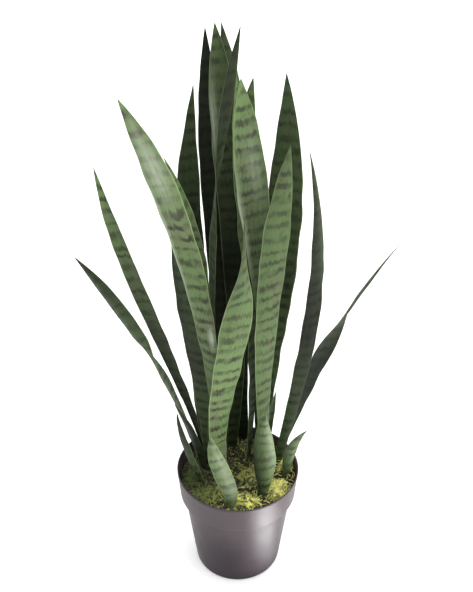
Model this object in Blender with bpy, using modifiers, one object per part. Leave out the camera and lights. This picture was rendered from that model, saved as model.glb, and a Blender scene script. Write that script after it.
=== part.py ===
"""A potted snake plant: a nursery pot, its soil, moss tufts and two dozen upright leaves.

Lengths are millimetres until they reach Blender, which gets metres. The origin is the centre
of the pot's foot, +Z is up and the side that is seen first faces -Y.
"""

import math
import random

import bpy
import bmesh
from mathutils import Vector

MM = 0.001

# Pot
POT_HEIGHT = 185.0
RIM_RADIUS = 95.0
COLLAR_HEIGHT = 46.0
COLLAR_FOOT_RADIUS = 91.0
BODY_TOP_RADIUS = 85.0
BASE_RADIUS = 69.0
WALL = 2.0
FLOOR_THICKNESS = 5.0
BASE_EDGE_RADIUS = 4.0
FOOT_RECESS_DEPTH = 2.0
FOOT_RING_WIDTH = 9.0
FOOT_DISC_RADIUS = 30.0
DRAIN_HOLE_RADIUS = 4.5
DRAIN_HOLES = 8
DRAIN_HOLE_SIDES = 12
POT_SIDES = 48
BASE_EDGE_STEPS = 3
TURNED_WELD = 0.00005

# Soil and moss
SOIL_BELOW_RIM = 22.0
LEAF_DEPTH_IN_SOIL = 21.0
CONTACT_GAP = 0.3
SOCKET_GAP = 0.5

# Leaves
LEAF_THICKNESS = 3.2
EDGE_THICKNESS_SHARE = 0.35
TIP_THICKNESS_SHARE = 0.45
LEAF_FOOT_SHARE = 0.42
LEAF_ACROSS = 4
LONG_LEAF_STATIONS = 15
SHORT_LEAF_STATIONS = 9
SHORT_LEAF_HEIGHT = 250.0
SWAY_PEAK = 10.4
STATION_CROWDING = 1.25
SPINE_STEP = 0.001
BLADE_WELD = 0.00001

SOIL_TOP = POT_HEIGHT - SOIL_BELOW_RIM
LEAF_FOOT_Z = SOIL_TOP - LEAF_DEPTH_IN_SOIL

# Each leaf: root (x, y) in the soil, tip (x, y, height above the soil), the sideways bow (x, y)
# at mid height, an S-shaped sway, the blade's width, where it is widest and how blunt its point
# is, the way it faces at its foot and tip (degrees from -Y towards +X), the stretch where it
# turns, and its gutter, which is positive where the ridge faces forward.
LEAVES = {
    "leaf_arching_left": dict(root=(-62, 46), tip=(-237, 85, 348), bow=(27, -6), sway=0,
                              width=37, belly=0.75, point=2.3, face=(90, 147), turn=(0.47, 0.67),
                              gutter=-0.2),
    "leaf_leaning_left": dict(root=(-46, 46), tip=(-186, 35, 506), bow=(-2, 6), sway=5,
                              width=28, belly=0.6, point=2.5, face=(-30, -20), turn=(0, 1), gutter=-0.15),
    "leaf_broad_left": dict(root=(-29, 8), tip=(-138, -30, 613), bow=(37, -8), sway=-5,
                            width=43, belly=0.75, point=2.9, face=(-48, -20), turn=(0, 1), gutter=0.12),
    "leaf_second_left": dict(root=(-36, 34), tip=(-94, 20, 525), bow=(10, 0), sway=-13,
                             width=34, belly=0.6, point=2.0, face=(0, -7), turn=(0, 1), gutter=0.12),
    "leaf_third_left": dict(root=(-36, 60), tip=(-57, 85, 599), bow=(-21, -3), sway=2,
                            width=47, belly=0.6, point=1.8, face=(15, 25), turn=(0, 1), gutter=-0.15),
    "leaf_tall_left": dict(root=(-26, 73), tip=(-42, 115, 663), bow=(8, 0), sway=4,
                           width=40, belly=0.63, point=2.7, face=(15, 10), turn=(0, 1), gutter=-0.15),
    "leaf_tall_centre": dict(root=(-12, 64), tip=(-29, 85, 674), bow=(18, 0), sway=1,
                             width=44, belly=0.75, point=2.7, face=(15, -15), turn=(0, 1), gutter=-0.12),
    "leaf_tall_back": dict(root=(13, 81), tip=(-22, 135, 665), bow=(6, 1), sway=-6,
                           width=46, belly=0.63, point=2.6, face=(12, 5), turn=(0, 1), gutter=-0.15),
    "leaf_tall_twisted": dict(root=(-15, 47), tip=(3, 32, 681), bow=(-32, 0), sway=1,
                              width=37, belly=0.65, point=2.7, face=(108, 38), turn=(0.55, 1), gutter=-0.1),
    "leaf_inner": dict(root=(14, 34), tip=(-1, 66, 618), bow=(11, 0), sway=3,
                       width=33, belly=0.75, point=2.2, face=(55, 24), turn=(0.42, 0.89), gutter=-0.12),
    "leaf_centre": dict(root=(33, 40), tip=(3, 20, 623), bow=(20, -5), sway=4,
                        width=46, belly=0.8, point=2.2, face=(65, 22), turn=(0.32, 0.8), gutter=0.1),
    "leaf_behind_centre": dict(root=(30, 70), tip=(20, 100, 603), bow=(-3, 3), sway=11,
                               width=40, belly=0.7, point=2.8, face=(10, -5), turn=(0, 1), gutter=-0.15),
    "leaf_second_right": dict(root=(46, 60), tip=(61, 80, 614), bow=(0, -3), sway=-8,
                              width=58, belly=0.6, point=2.3, face=(-10, -20), turn=(0, 1), gutter=-0.12),
    "leaf_broad_right": dict(root=(48, 4), tip=(62, -25, 556), bow=(-15, -2), sway=-1,
                             width=45, belly=0.7, point=2.3, face=(49, 25), turn=(0, 1), gutter=0.12),
    "leaf_leaning_right": dict(root=(58, 22), tip=(87, 0, 540), bow=(30, 4), sway=-5,
                               width=33, belly=0.62, point=2.1, face=(3, 60), turn=(0, 1), gutter=0.12),
    "leaf_arching_right": dict(root=(55, 40), tip=(227, 60, 382), bow=(-24, -4), sway=4,
                               width=40, belly=0.64, point=1.6, face=(29, 76), turn=(0.57, 0.8),
                               gutter=-0.12),
    "leaf_front": dict(root=(-13, -12), tip=(7, -45, 465), bow=(-13, -12), sway=-11,
                       width=50, belly=0.67, point=2.0, face=(28, 77), turn=(0.69, 0.92), gutter=0.12),
    "leaf_back_left": dict(root=(-46, 22), tip=(-88, 8, 415), bow=(11, 0), sway=0,
                           width=41, belly=0.6, point=2.5, face=(-25, -20), turn=(0, 1), gutter=0.12),
    "leaf_short_front_left": dict(root=(-17, -66), tip=(-37, -85, 156), bow=(9, -5), sway=6,
                                  width=28, belly=0.55, point=2.5, face=(17, -5), turn=(0, 1), gutter=0.2),
    "leaf_short_front_right": dict(root=(33, -48), tip=(39, -65, 182), bow=(4, 4), sway=4,
                                   width=35, belly=0.5, point=1.9, face=(26, -13), turn=(0, 1), gutter=0.3),
    "leaf_short_right": dict(root=(69, 2), tip=(104, -15, 107), bow=(-6, -4), sway=4,
                             width=27, belly=0.6, point=2.3, face=(44, 28), turn=(0, 1), gutter=0.3),
    "leaf_short_back_left": dict(root=(-56, 14), tip=(-95, 10, 137), bow=(8, 4), sway=2,
                                 width=25, belly=0.6, point=2.3, face=(-31, -50), turn=(0, 1), gutter=0.2),
    "leaf_short_inner": dict(root=(43, 26), tip=(58, 26, 149), bow=(-5, 0), sway=0,
                             width=18, belly=0.6, point=2.2, face=(20, 37), turn=(0, 1), gutter=-0.2),
    "leaf_short_left": dict(root=(-51, -12), tip=(-88, -30, 153), bow=(-6, -4), sway=2,
                            width=26, belly=0.6, point=2.5, face=(-37, -59), turn=(0, 1), gutter=0.3),
}

# Each tuft of moss: centre (x, y), half lengths along x and y, and height.
MOSS = {
    "moss_front_left": dict(at=(-48, -46), half=(21, 15), height=11),
    "moss_front": dict(at=(8, -62), half=(19, 15), height=12),
    "moss_front_right": dict(at=(60, -38), half=(17, 18), height=15),
    "moss_right": dict(at=(74, 24), half=(9, 16), height=12),
    "moss_centre": dict(at=(17, -4), half=(16, 17), height=10),
    "moss_left": dict(at=(-73, -8), half=(11, 15), height=9),
    "moss_inner_left": dict(at=(-28, -28), half=(13, 9), height=8),
    "moss_back_left": dict(at=(-51, 62), half=(7, 6), height=8),
    "moss_back": dict(at=(-7, 81), half=(7, 7), height=9),
}
MOSS_SIDES = 14
MOSS_RINGS = 8
MOSS_UNEVENNESS = 0.12
MOSS_FLAT_TOLERANCE = 0.000001

POT_COLOUR = (0.13, 0.115, 0.12)
SOIL_COLOUR = (0.045, 0.032, 0.022)
MOSS_COLOUR = (0.36, 0.36, 0.10)
PALE_LEAF_COLOUR = (0.29, 0.40, 0.22)
DEEP_LEAF_COLOUR = (0.07, 0.11, 0.06)
POT_ROUGHNESS = 0.42
SOIL_ROUGHNESS = 0.95
MOSS_ROUGHNESS = 0.9
LEAF_ROUGHNESS = 0.45
PALE_LEAVES = ("leaf_broad_left", "leaf_second_left", "leaf_centre", "leaf_broad_right", "leaf_front",
               "leaf_short_front_left", "leaf_short_front_right", "leaf_short_right")


def clear_scene():
    for obj in list(bpy.data.objects):
        bpy.data.objects.remove(obj, do_unlink=True)


def new_collection(name, parent, hidden=False):
    collection = bpy.data.collections.new(name)
    parent.children.link(collection)
    collection.hide_render = hidden
    return collection


def new_object(name, mesh, collection):
    obj = bpy.data.objects.new(name, mesh)
    collection.objects.link(obj)
    return obj


def paint(obj, colour, roughness):
    material = bpy.data.materials.new(obj.name)
    material.use_nodes = True
    shader = material.node_tree.nodes["Principled BSDF"]
    shader.inputs["Base Color"].default_value = (*colour, 1.0)
    shader.inputs["Roughness"].default_value = roughness
    shader.inputs["Metallic"].default_value = 0.0
    material.diffuse_color = (*colour, 1.0)
    obj.data.materials.append(material)


def lerp(a, b, t):
    return a + (b - a) * t


def ease(t):
    t = min(max(t, 0.0), 1.0)
    return t * t * (3.0 - 2.0 * t)


def turned(name, profile, collection):
    """A solid of revolution. The profile's outer side runs from top to bottom at +X."""
    mesh = bpy.data.meshes.new(name)
    points = [(radius * MM, 0.0, z * MM) for radius, z in profile]
    mesh.from_pydata(points, [(i, i + 1) for i in range(len(points) - 1)], [])
    obj = new_object(name, mesh, collection)
    screw = obj.modifiers.new("turn", "SCREW")
    screw.axis = "Z"
    screw.steps = POT_SIDES
    screw.render_steps = POT_SIDES
    screw.use_merge_vertices = True
    screw.merge_threshold = TURNED_WELD
    screw.use_smooth_shade = False
    return obj


def bore_profile(gap):
    """The pot's inner wall from its floor up to the rim, drawn in by a gap."""
    ledge = POT_HEIGHT - COLLAR_HEIGHT + WALL
    return [
        (BASE_RADIUS - WALL - gap, FLOOR_THICKNESS + gap),
        (BODY_TOP_RADIUS - WALL - gap, ledge + gap),
        (COLLAR_FOOT_RADIUS - WALL - gap, ledge + gap),
        (RIM_RADIUS - WALL - gap, POT_HEIGHT),
    ]


def radius_between(low, high, z):
    """The radius at a height on the straight line through two points of a profile."""
    return lerp(low[0], high[0], (z - low[1]) / (high[1] - low[1]))


def root_share():
    """Draws the roots in where the leaves' feet reach below the ledge, into the narrower body."""
    floor, ledge_inner, ledge_outer, rim = bore_profile(0.0)
    if LEAF_FOOT_Z > ledge_outer[1]:
        return 1.0
    collar_radius = radius_between(ledge_outer, rim, LEAF_FOOT_Z)
    return radius_between(floor, ledge_inner, LEAF_FOOT_Z) / collar_radius


def build_pot(collection, cutters):
    lip = WALL / 4
    collar_foot = POT_HEIGHT - COLLAR_HEIGHT
    inside = [(0.0, FLOOR_THICKNESS)] + bore_profile(0.0)[:-1]
    rim = [
        (RIM_RADIUS - WALL, POT_HEIGHT - lip),
        (RIM_RADIUS - WALL + lip, POT_HEIGHT),
        (RIM_RADIUS - lip, POT_HEIGHT),
        (RIM_RADIUS, POT_HEIGHT - lip),
    ]
    outside = [(COLLAR_FOOT_RADIUS, collar_foot), (BODY_TOP_RADIUS, collar_foot)]
    for step in range(BASE_EDGE_STEPS + 1):
        angle = math.radians(90.0 * step / BASE_EDGE_STEPS)
        outside.append((BASE_RADIUS - BASE_EDGE_RADIUS * (1 - math.cos(angle)),
                        BASE_EDGE_RADIUS * (1 - math.sin(angle))))
    ring = BASE_RADIUS - FOOT_RING_WIDTH
    foot = [
        (ring, 0.0),
        (ring, FOOT_RECESS_DEPTH),
        (FOOT_DISC_RADIUS, FOOT_RECESS_DEPTH),
        (FOOT_DISC_RADIUS, 0.0),
        (0.0, 0.0),
    ]
    pot = turned("pot", inside + rim + outside + foot, collection)
    paint(pot, POT_COLOUR, POT_ROUGHNESS)
    cut_drain_holes(pot, cutters, (ring + FOOT_DISC_RADIUS) / 2)
    return pot


def cut_drain_holes(pot, cutters, circle_radius):
    holes = new_collection("drain_holes", cutters)
    for index in range(DRAIN_HOLES):
        angle = math.tau * (index + 0.5) / DRAIN_HOLES
        mesh = bpy.data.meshes.new(f"drain_hole_{index + 1}")
        shape = bmesh.new()
        bmesh.ops.create_cone(shape, cap_ends=True, segments=DRAIN_HOLE_SIDES, radius1=DRAIN_HOLE_RADIUS * MM,
                              radius2=DRAIN_HOLE_RADIUS * MM, depth=4 * FLOOR_THICKNESS * MM)
        shape.to_mesh(mesh)
        shape.free()
        hole = new_object(mesh.name, mesh, holes)
        hole.location = (circle_radius * math.cos(angle) * MM, circle_radius * math.sin(angle) * MM, 0.0)
        hole.hide_render = True
        hole.display_type = "WIRE"
    cut(pot, holes)


def cut(obj, cutters):
    boolean = obj.modifiers.new("cut", "BOOLEAN")
    boolean.operation = "DIFFERENCE"
    boolean.operand_type = "COLLECTION"
    boolean.collection = cutters
    boolean.solver = "EXACT"


def build_soil(collection, sockets):
    floor, ledge_inner, ledge_outer, rim = bore_profile(CONTACT_GAP)
    top_radius = radius_between(ledge_outer, rim, SOIL_TOP)
    profile = [(0.0, SOIL_TOP), (top_radius, SOIL_TOP), ledge_outer, ledge_inner, floor, (0.0, floor[1])]
    soil = turned("soil", profile, collection)
    paint(soil, SOIL_COLOUR, SOIL_ROUGHNESS)
    cut(soil, sockets)
    return soil


def spine(leaf, t):
    """The point of a leaf's centre line at a share t of its length."""
    root_x, root_y = (root_share() * value for value in leaf["root"])
    tip_x, tip_y, tip_rise = leaf["tip"]
    bow_x, bow_y = leaf["bow"]
    arc = 4 * t * (1 - t)
    sway = SWAY_PEAK * t * (1 - t) * (1 - 2 * t)
    return Vector((
        lerp(root_x, tip_x, t) + bow_x * arc + leaf["sway"] * sway,
        lerp(root_y, tip_y, t) + bow_y * arc,
        lerp(LEAF_FOOT_Z, SOIL_TOP + tip_rise, t),
    ))


def half_width(leaf, t):
    widest = leaf["width"] / 2
    if t < leaf["belly"]:
        return widest * lerp(LEAF_FOOT_SHARE, 1.0, ease(t / leaf["belly"]))
    past = (t - leaf["belly"]) / (1 - leaf["belly"])
    return widest * (1 - past ** leaf["point"])


def blade_point(leaf, s, t):
    """A point of the blade: s runs from -1 to 1 across it, and t from 0 to 1 along it."""
    along = (spine(leaf, min(t + SPINE_STEP, 1.0)) - spine(leaf, max(t - SPINE_STEP, 0.0))).normalized()
    front = Vector((0.0, -1.0, 0.0))
    front = (front - along * front.dot(along)).normalized()
    right = along.cross(front)
    start, end = leaf["turn"]
    angle = math.radians(lerp(leaf["face"][0], leaf["face"][1], ease((t - start) / (end - start))))
    side = right * math.cos(angle) - front * math.sin(angle)
    normal = front * math.cos(angle) + right * math.sin(angle)
    reach = half_width(leaf, t)
    return spine(leaf, t) + side * (reach * s) - normal * (leaf["gutter"] * reach * abs(s) ** 1.5)


def leaf_mesh(name, leaf, highest=math.inf):
    """An open blade up to a height, with its share of the full thickness in a vertex group."""
    tall = leaf["tip"][2] + LEAF_DEPTH_IN_SOIL > SHORT_LEAF_HEIGHT
    stations = LONG_LEAF_STATIONS if tall else SHORT_LEAF_STATIONS
    shape = bmesh.new()
    bmesh.ops.create_grid(shape, x_segments=LEAF_ACROSS, y_segments=stations, size=1.0)
    weights = shape.verts.layers.deform.verify()
    beyond = []
    for vertex in shape.verts:
        s = vertex.co.x
        u = (vertex.co.y + 1) / 2
        t = 1 - (1 - u) ** STATION_CROWDING
        below = 1 - min(1 - u + 1 / stations, 1.0) ** STATION_CROWDING
        if spine(leaf, below).z > highest:
            beyond.append(vertex)
        body = lerp(1.0, EDGE_THICKNESS_SHARE, s * s)
        vertex[weights][0] = body * lerp(1.0, TIP_THICKNESS_SHARE, t)
        vertex.co = blade_point(leaf, s, t) * MM
    bmesh.ops.delete(shape, geom=beyond, context="VERTS")
    bmesh.ops.remove_doubles(shape, verts=shape.verts, dist=BLADE_WELD)
    mesh = bpy.data.meshes.new(name)
    shape.to_mesh(mesh)
    shape.free()
    return mesh


def thicken(obj):
    obj.vertex_groups.new(name="thickness")
    solidify = obj.modifiers.new("thickness", "SOLIDIFY")
    solidify.thickness = LEAF_THICKNESS * MM
    solidify.offset = 0.0
    solidify.vertex_group = "thickness"
    solidify.thickness_vertex_group = 0.0


def build_leaf(name, leaf, collection):
    obj = new_object(name, leaf_mesh(name, leaf), collection)
    thicken(obj)
    pale = name in PALE_LEAVES
    paint(obj, PALE_LEAF_COLOUR if pale else DEEP_LEAF_COLOUR, LEAF_ROUGHNESS)
    return obj


def build_socket(name, leaf, collection):
    """The space a leaf's foot needs in the soil and moss: the foot itself, grown by the gap."""
    tallest_moss = max(tuft["height"] for tuft in MOSS.values())
    mesh = leaf_mesh("socket_" + name, leaf, highest=SOIL_TOP + 2 * tallest_moss)
    socket = new_object(mesh.name, mesh, collection)
    thicken(socket)
    grow = socket.modifiers.new("gap", "DISPLACE")
    grow.direction = "NORMAL"
    grow.mid_level = 0.0
    grow.strength = SOCKET_GAP * MM
    socket.hide_render = True
    socket.display_type = "WIRE"


def build_moss(name, tuft, collection, sockets):
    mesh = bpy.data.meshes.new(name)
    bumps = random.Random(name)
    shape = bmesh.new()
    bmesh.ops.create_uvsphere(shape, u_segments=MOSS_SIDES, v_segments=MOSS_RINGS, radius=1.0)
    for vertex in shape.verts:
        vertex.co *= 1 - MOSS_UNEVENNESS * bumps.random()
        vertex.co.x *= tuft["half"][0] * MM
        vertex.co.y *= tuft["half"][1] * MM
        vertex.co.z *= tuft["height"] * MM
    everything = shape.verts[:] + shape.edges[:] + shape.faces[:]
    flat = bmesh.ops.bisect_plane(shape, geom=everything, dist=MOSS_FLAT_TOLERANCE, plane_co=(0, 0, 0),
                                  plane_no=(0, 0, 1), clear_inner=True)
    rim = [part for part in flat["geom_cut"] if isinstance(part, bmesh.types.BMEdge)]
    bmesh.ops.contextual_create(shape, geom=rim)
    bmesh.ops.recalc_face_normals(shape, faces=shape.faces)
    shape.to_mesh(mesh)
    shape.free()
    obj = new_object(name, mesh, collection)
    obj.location = (tuft["at"][0] * MM, tuft["at"][1] * MM, (SOIL_TOP + CONTACT_GAP) * MM)
    paint(obj, MOSS_COLOUR, MOSS_ROUGHNESS)
    cut(obj, sockets)
    return obj


def main():
    clear_scene()
    scene = bpy.context.scene.collection
    plant = new_collection("potted_snake_plant", scene)
    cutters = new_collection("cutters", scene, hidden=True)
    sockets = new_collection("leaf_sockets", cutters)
    for name, leaf in LEAVES.items():
        build_leaf(name, leaf, plant)
        build_socket(name, leaf, sockets)
    build_pot(plant, cutters)
    build_soil(plant, sockets)
    for name, tuft in MOSS.items():
        build_moss(name, tuft, plant, sockets)


main()
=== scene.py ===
"""A potted snake plant: banded leaves, a nursery pot, soil and moss, built on its fixed frame.

The table of leaves and the constants above it that shape a blade are millimetres, as on a drawing;
everything else is metres. The origin is the centre of the pot's foot, +Z is up and the side that
is seen first faces -Y.
"""

import math
import random

import bmesh
import bpy
from bpy.props import FloatProperty, FloatVectorProperty, IntProperty, PointerProperty
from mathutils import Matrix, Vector, noise


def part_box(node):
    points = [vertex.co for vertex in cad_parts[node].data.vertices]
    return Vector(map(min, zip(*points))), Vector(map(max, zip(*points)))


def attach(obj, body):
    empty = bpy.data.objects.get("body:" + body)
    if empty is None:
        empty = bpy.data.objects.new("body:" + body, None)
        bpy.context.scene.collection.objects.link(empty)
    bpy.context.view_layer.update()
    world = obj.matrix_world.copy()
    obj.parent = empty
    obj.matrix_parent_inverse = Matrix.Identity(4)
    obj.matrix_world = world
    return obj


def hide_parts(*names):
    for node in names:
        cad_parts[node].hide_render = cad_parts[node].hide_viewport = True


bl_info = {
    "name": "Potted Snake Plant",
    "version": (1, 0, 0),
    "blender": (4, 5, 0),
    "location": "View3D > Sidebar > Snake Plant",
    "description": "Builds a potted snake plant with banded leaves, moss and a nursery pot",
    "category": "Add Mesh",
}

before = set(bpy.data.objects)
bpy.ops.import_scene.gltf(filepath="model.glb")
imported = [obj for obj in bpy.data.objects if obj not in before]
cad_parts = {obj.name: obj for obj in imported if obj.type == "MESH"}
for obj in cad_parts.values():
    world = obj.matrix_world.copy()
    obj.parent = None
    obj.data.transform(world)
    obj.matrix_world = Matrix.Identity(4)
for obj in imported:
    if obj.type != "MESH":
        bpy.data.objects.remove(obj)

MM = 0.001
POT_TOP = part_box("pot")[1]
SOIL_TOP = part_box("soil")[1]
MOSS_TUFTS = ("moss_front_left", "moss_front", "moss_front_right", "moss_right", "moss_centre",
              "moss_left", "moss_inner_left", "moss_back_left", "moss_back")

# The pot's own sizes, from the rim down
RIM_BEAD = 0.0045
RIM_BEAD_TAPER = 0.0002
RIM_BEAD_STEP = 0.0007
COLLAR_HEIGHT = 0.046
COLLAR_FOOT_RADIUS = 0.091
COLLAR_EDGE_HEIGHT = 0.0015
COLLAR_EDGE_FLARE = 0.0003
COLLAR_EDGE_TUCK = 0.0004
BODY_TOP_RADIUS = 0.085
LEDGE_FILLET = 0.001
BASE_RADIUS = 0.069
BASE_EDGE_RADIUS = 0.004
BASE_EDGE_STEPS = 6
FLOOR_THICKNESS = 0.005
FLOOR_CORNER = 0.003
FOOT_RECESS = 0.002
FOOT_DRAFT = 0.0006
FOOT_RING_WIDTH = 0.009
FOOT_DISC_RADIUS = 0.030
CENTRE_MARK_RADIUS = 0.004
DRAIN_HOLES = 8
DRAIN_HOLE_RADIUS = 0.0045
DRAIN_HOLE_SIDES = 32
POT_SIDES = 160
POT_EDGE_ROUNDING = 0.0004

# The soil's surface: its gap to the pot, its edge below and above the soil's level, and its lumps
SOIL_GAP = 0.0004
SOIL_SKIRT = 0.0015
SOIL_RISE = 0.0004
SOIL_SIDES = 120
SOIL_RINGS = 45
LUMP_BASE = 0.0016
LUMP_HEIGHT = 0.0022

# Crumbs: their sizes, how far out, how high and how tilted they lie, how a round grain and a flat
# chip are stretched, and how many are chips
CRUMB_SIZES = (0.0007, 0.0024)
CRUMB_REACH = 0.97
CRUMB_RISE = 0.0015
CRUMB_TILT = 0.4
GRAIN_STRETCH = Vector((1.0, 1.0, 0.8))
CHIP_STRETCH = Vector((2.2, 1.0, 0.45))
CHIP_SHARE = 0.25
CRUMB_SEED = 7

# Moss strands: points on each, their thickness from root to end, how they curl and droop, how
# far past a tuft's outline they start and how they crowd there, and the wisps between the tufts
STRAND_POINTS = 6
STRAND_TAPER = (1.15, 0.45)
STRAND_CURL = 0.3
STRAND_DROOP = (-0.55, 0.25)
TUFT_REACH = 1.12
TUFT_CROWDING = 0.55
MOSS_WALL_GAP = 0.001
WISPS = 900
WISP_SEED = 21

# The stage: the floor, both lights and what they face, the light card and the camera
FLOOR_SIZE = 30.0
KEY_PLACE = (1.7, -0.9, 1.5)
KEY_TARGET = (0.0, 0.0, 0.35)
KEY_SIZE = 2.2
TOP_PLACE = (0.0, 2.2, 4.5)
TOP_TARGET = (0.0, 2.2, 0.0)
TOP_SIZE = 9.0
CARD_PLACE = (0.122, -0.106, 0.0006)
CARD_RADIUS = 0.09
CAMERA_X = -0.002

# Colours that a finish holds beside the ones in its settings
WHITE = (1.0, 1.0, 1.0, 1.0)
WARM_SAGE = (0.225, 0.215, 0.150, 1.0)
WARM_DEEP = (0.028, 0.026, 0.021, 1.0)
DEEP_MARGIN = (0.110, 0.120, 0.075, 1.0)
# The colour of the pot's dust, also used to paint top light on the upper pot.
POT_DUST_AND_TOP_LIGHT = (0.104, 0.083, 0.090, 1.0)
POT_SCUFF = (0.200, 0.180, 0.180, 1.0)
SOIL_BLACK = (0.012, 0.009, 0.007, 1.0)
SOIL_BROWN = (0.110, 0.075, 0.045, 1.0)
MOSS_STRAW = (0.800, 0.700, 0.360, 1.0)
MOSS_OLIVE = (0.100, 0.150, 0.020, 1.0)
MOSS_LIT = (1.000, 0.980, 0.360, 1.0)
FLOOR_COLOUR = (0.930, 0.930, 0.930, 1.0)
CARD_COLOUR = (0.900, 0.900, 0.900, 1.0)

# Each blade's grid: squares across and along it, and how they crowd towards the tip
BLADE_COLUMNS = 10
LONG_BLADE = 250
LONG_BLADE_ROWS = 56
SHORT_BLADE_ROWS = 30
ROW_CROWDING = 1.25
BLADE_WELD = 0.01

# How a leaf sways, ripples and pinches in at its edges, how its gutter curves, how its painted
# highlights fade, and how far its bands lie from the next leaf's in their pattern
SWAY_PEAK = 10.4
RIPPLE_LENGTH = 34
RIPPLE_GAIN = 2.4
EDGE_PINCH = 0.1
PINCH_FREQUENCY = 1.35
SPINE_STEP = 0.001
GUTTER_CURVE = 1.5
GLINT_FALLOFF = 1.6
BAND_OFFSET = 0.37

# The soil's level, and how deep the leaves' feet stand in it
LEAF_DEPTH = 21.0
SOIL_LEVEL = SOIL_TOP.z / MM
LEAF_FOOT_Z = SOIL_LEVEL - LEAF_DEPTH
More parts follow.
